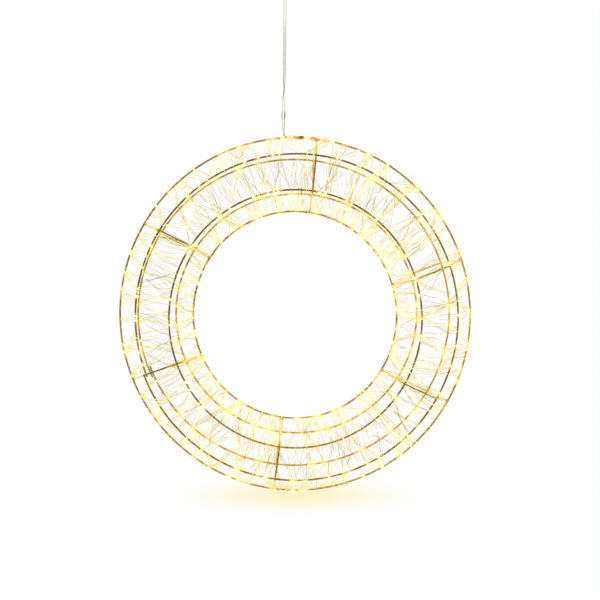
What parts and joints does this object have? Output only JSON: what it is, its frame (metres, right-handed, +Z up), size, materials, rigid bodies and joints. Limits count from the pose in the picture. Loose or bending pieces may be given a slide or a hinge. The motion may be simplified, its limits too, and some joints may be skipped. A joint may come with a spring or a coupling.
{
  "type": "lit wire wreath frame",
  "caption": "Ring-shaped wire wreath frame of hexagonal section, wound with fine light wire and hung by a spliced twin lead from a ceiling hook.",
  "frame": {"origin": "centre of the flat ceiling face of the hook's collar, from which the wreath hangs", "axes": "+Z up along the hook's neck, the wreath stands in the XZ plane and faces -Y, +X to the right as seen from the front"},
  "size_m": [0.3868, 0.0736, 0.6047],
  "materials": {
    "gold_wire": "lacquered gold with olive shade, semi-gloss",
    "bronze_wire": "dark olive bronze, satin",
    "light_wire": "fine wire under clear enamel, lit yellow by its lamps",
    "enamelled_copper": "amber enamelled copper, glossy",
    "amber_glue": "amber hot glue, glossy",
    "lamp_drop": "clear epoxy over a warm white lamp, lit",
    "clear_pvc": "clear soft plastic",
    "white_moulding": "fine moulded grain",
    "hook_steel": "bright plated steel"
  },
  "bodies": {
    "ceiling": {"ceiling_hook": "hook_steel"},
    "eye": {"hanging_eye": "hook_steel"},
    "wreath": {"lead_grip_body": "white_moulding", "twin_lead": "clear_pvc", "splice_sleeve": "clear_pvc", "feed_wire_left": "enamelled_copper", "feed_wire_right": "enamelled_copper", "binding_coil": "enamelled_copper", "crimp_band_left": "enamelled_copper", "crimp_band_right": "enamelled_copper", "glue_bead": "amber_glue", "anchor_lamp_drop": "lamp_drop", "ring_outermost": "gold_wire", "ring_front_outer": "gold_wire", "ring_front_inner": "gold_wire", "ring_innermost": "gold_wire", "ring_back_inner": "gold_wire", "ring_back_outer": "gold_wire", "hoop_right_upper": "bronze_wire", "hoop_top": "bronze_wire", "hoop_left_upper": "bronze_wire", "hoop_left_lower": "bronze_wire", "hoop_bottom": "bronze_wire", "hoop_right_lower": "bronze_wire", "light_string_1": "light_wire", "light_string_2": "light_wire", "light_string_3": "light_wire", "light_string_4": "light_wire"},
    "grip_nut": {"lead_grip_nut": "white_moulding"}
  },
  "joints": [
    {"name": "swing", "type": "hinge", "parent": "ceiling", "child": "eye", "pos_m": [0, 0, -0.03], "axis": [1, 0, 0], "range_deg": [-40, 40]},
    {"name": "wreath_turn", "type": "hinge", "parent": "eye", "child": "wreath", "pos_m": [0, 0, -0.048], "axis": [0, 0, 1], "continuous": true},
    {"name": "grip_nut_turn", "type": "hinge", "parent": "wreath", "child": "grip_nut", "pos_m": [0, 0, -0.0587], "axis": [0, 0, 1], "continuous": true}
  ]
}
